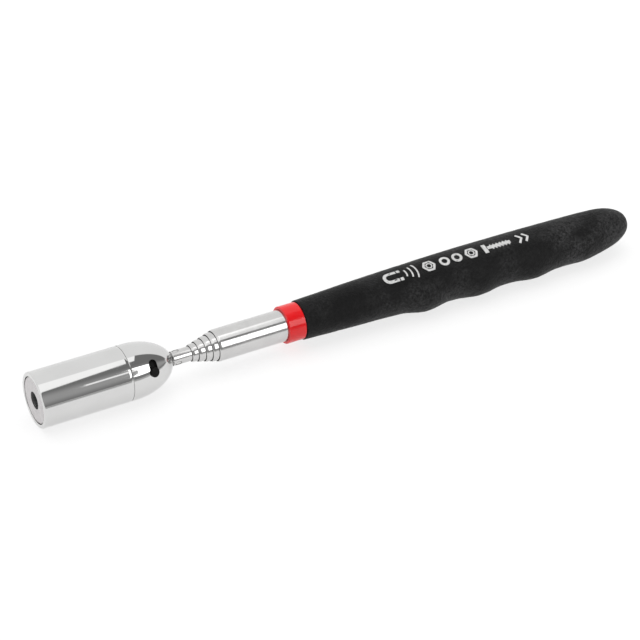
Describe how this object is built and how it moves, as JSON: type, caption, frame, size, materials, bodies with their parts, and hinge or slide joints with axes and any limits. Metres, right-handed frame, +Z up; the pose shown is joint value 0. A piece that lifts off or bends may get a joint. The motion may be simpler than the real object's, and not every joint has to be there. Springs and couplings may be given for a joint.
{
  "type": "magnetic pickup tool",
  "caption": "Telescopic magnetic pickup tool: chrome lighted head on a swivel and tilt knuckle, stepped antenna, red collar, black grip with finger bumps.",
  "frame": {"origin": "bottom centre of the closed tool's box, on the surface it lies on", "axes": "+X along the tool from the magnet to the grip's rounded end, +Z up, finger bumps towards -Y"},
  "size_m": [0.2298, 0.0199, 0.019],
  "materials": {
    "chrome": "mirror-bright chrome plate",
    "antenna_chrome": "drawn and chromed, slightly satin",
    "magnet": "nickel-plated, satin",
    "steel": "nickel-plated steel",
    "spring_steel": "drawn spring wire",
    "brass": "bare brass",
    "red_plastic": "glossy moulded red",
    "grip_rubber": "fine pebbled black",
    "black_plastic": "black moulded",
    "core_plastic": "dark moulded",
    "board": "green lacquered laminate",
    "seal": "black rubber",
    "lamp": "clear cast resin"
  },
  "bodies": {
    "handle": {"tube_1": "antenna_chrome", "collar": "red_plastic", "grip": "grip_rubber", "handle_core": "core_plastic", "tube_end_plug": "black_plastic", "core_end_cap": "core_plastic"},
    "section_2": {"tube_2": "antenna_chrome", "slip_bush_2": "brass"},
    "section_3": {"tube_3": "antenna_chrome", "slip_bush_3": "brass"},
    "section_4": {"tube_4": "antenna_chrome", "slip_bush_4": "brass"},
    "section_5": {"tube_5": "antenna_chrome", "slip_bush_5": "brass"},
    "section_6": {"tube_6": "antenna_chrome", "slip_bush_6": "brass"},
    "swivel": {"swivel_knuckle": "steel"},
    "head": {"head_barrel": "chrome", "head_dome": "chrome", "magnet_ring": "magnet", "pole_plate": "steel", "led": "lamp", "led_holder": "black_plastic", "led_lead_anode": "steel", "led_lead_cathode": "steel", "series_resistor": "black_plastic", "contact_board": "board", "front_contact": "brass", "battery_sleeve": "core_plastic", "button_cell_1": "steel", "button_cell_2": "steel", "button_cell_3": "steel", "contact_spring": "spring_steel", "switch_contact": "brass", "seal_ring": "seal", "pivot_pin": "steel"},
    "lamp_switch": {"switch_slider": "black_plastic"}
  },
  "joints": [
    {"name": "section_2_slide", "type": "slide", "parent": "handle", "child": "section_2", "axis": [-1, 0, 0], "range_m": [0, 0.11]},
    {"name": "section_3_slide", "type": "slide", "parent": "section_2", "child": "section_3", "axis": [-1, 0, 0], "range_m": [0, 0.11]},
    {"name": "section_4_slide", "type": "slide", "parent": "section_3", "child": "section_4", "axis": [-1, 0, 0], "range_m": [0, 0.11]},
    {"name": "section_5_slide", "type": "slide", "parent": "section_4", "child": "section_5", "axis": [-1, 0, 0], "range_m": [0, 0.11]},
    {"name": "section_6_slide", "type": "slide", "parent": "section_5", "child": "section_6", "axis": [-1, 0, 0], "range_m": [0, 0.11]},
    {"name": "head_swivel", "type": "hinge", "parent": "section_6", "child": "swivel", "pos_m": [-0.0629, 0, 0.0095], "axis": [1, 0, 0], "continuous": true},
    {"name": "head_tilt", "type": "hinge", "parent": "swivel", "child": "head", "pos_m": [-0.0734, 0, 0.0095], "axis": [0, -0.7986, 0.6018], "range_deg": [-45, 45]},
    {"name": "lamp_switch_slide", "type": "hinge", "parent": "head", "child": "lamp_switch", "pos_m": [-0.0758, 0, 0.0095], "axis": [-1, 0, 0], "range_deg": [0, 20]}
  ]
}
